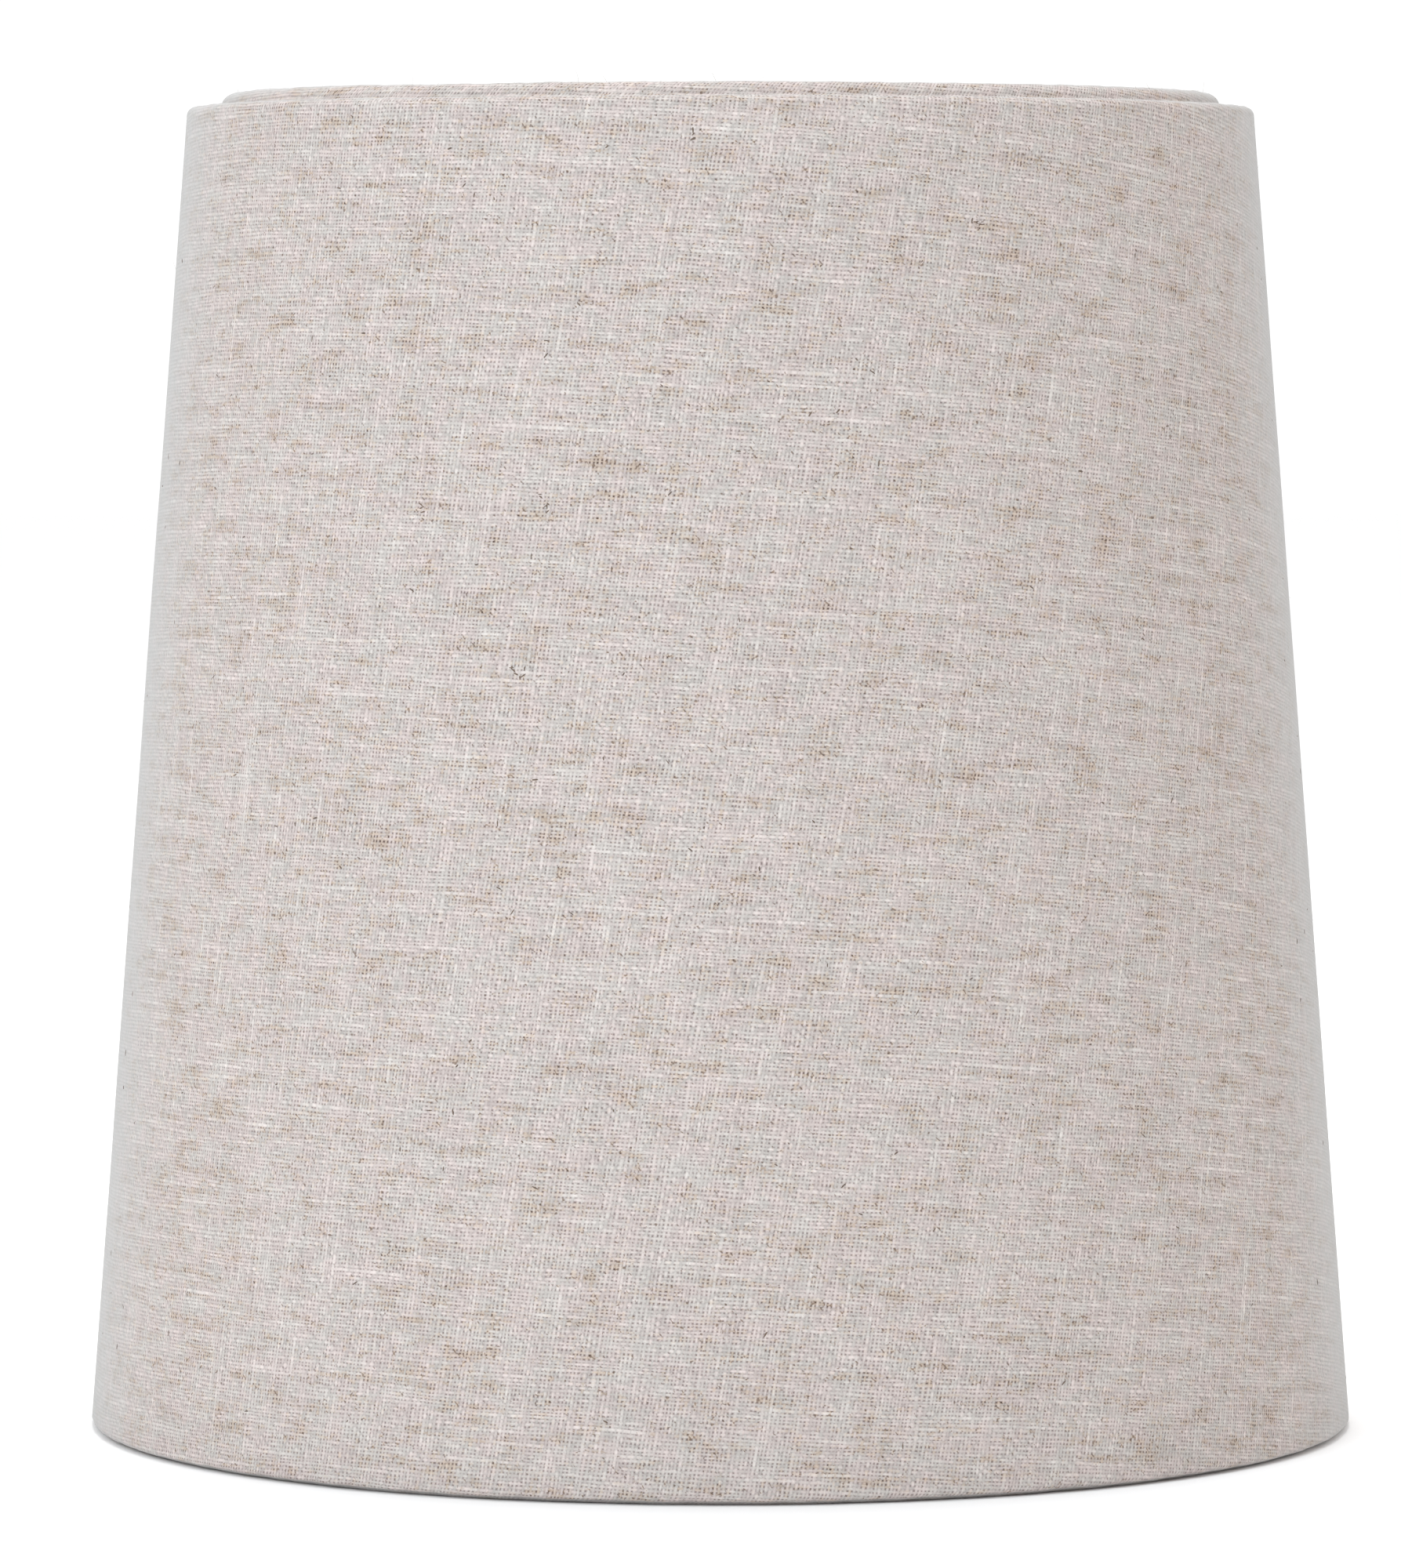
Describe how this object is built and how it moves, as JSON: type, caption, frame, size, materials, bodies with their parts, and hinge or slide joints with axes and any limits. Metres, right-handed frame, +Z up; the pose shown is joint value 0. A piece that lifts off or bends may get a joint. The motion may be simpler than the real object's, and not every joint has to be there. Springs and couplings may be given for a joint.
{
  "type": "lamp shade",
  "caption": "Tapered drum lamp shade in natural linen on a stiff backing, with rolled rims, wire rings and a dropped fitter ring for an E27 lampholder.",
  "frame": {"origin": "centre of the bottom rim, in the plane that the shade stands on", "axes": "+Z up along the axis of the shade, -Y the front, +Y the side with the lap seam"},
  "size_m": [0.1998, 0.2006, 0.2106],
  "materials": {
    "linen": "coarse plain-weave natural linen, matt",
    "backing_sheet": "white satin laminate sheet",
    "adhesive_tape": "translucent double-sided tape",
    "white_wire": "white powder-coated steel wire",
    "white_fitter": "white powder-coated pressed steel"
  },
  "bodies": {
    "root": {"linen_cover": "linen", "backing": "backing_sheet", "seam_tape": "adhesive_tape", "top_ring": "white_wire", "bottom_ring": "white_wire", "top_ring_tape": "adhesive_tape", "bottom_ring_tape": "adhesive_tape", "fitter_ring": "white_fitter", "spoke_1": "white_wire", "spoke_2": "white_wire", "spoke_3": "white_wire"}
  },
  "joints": []
}
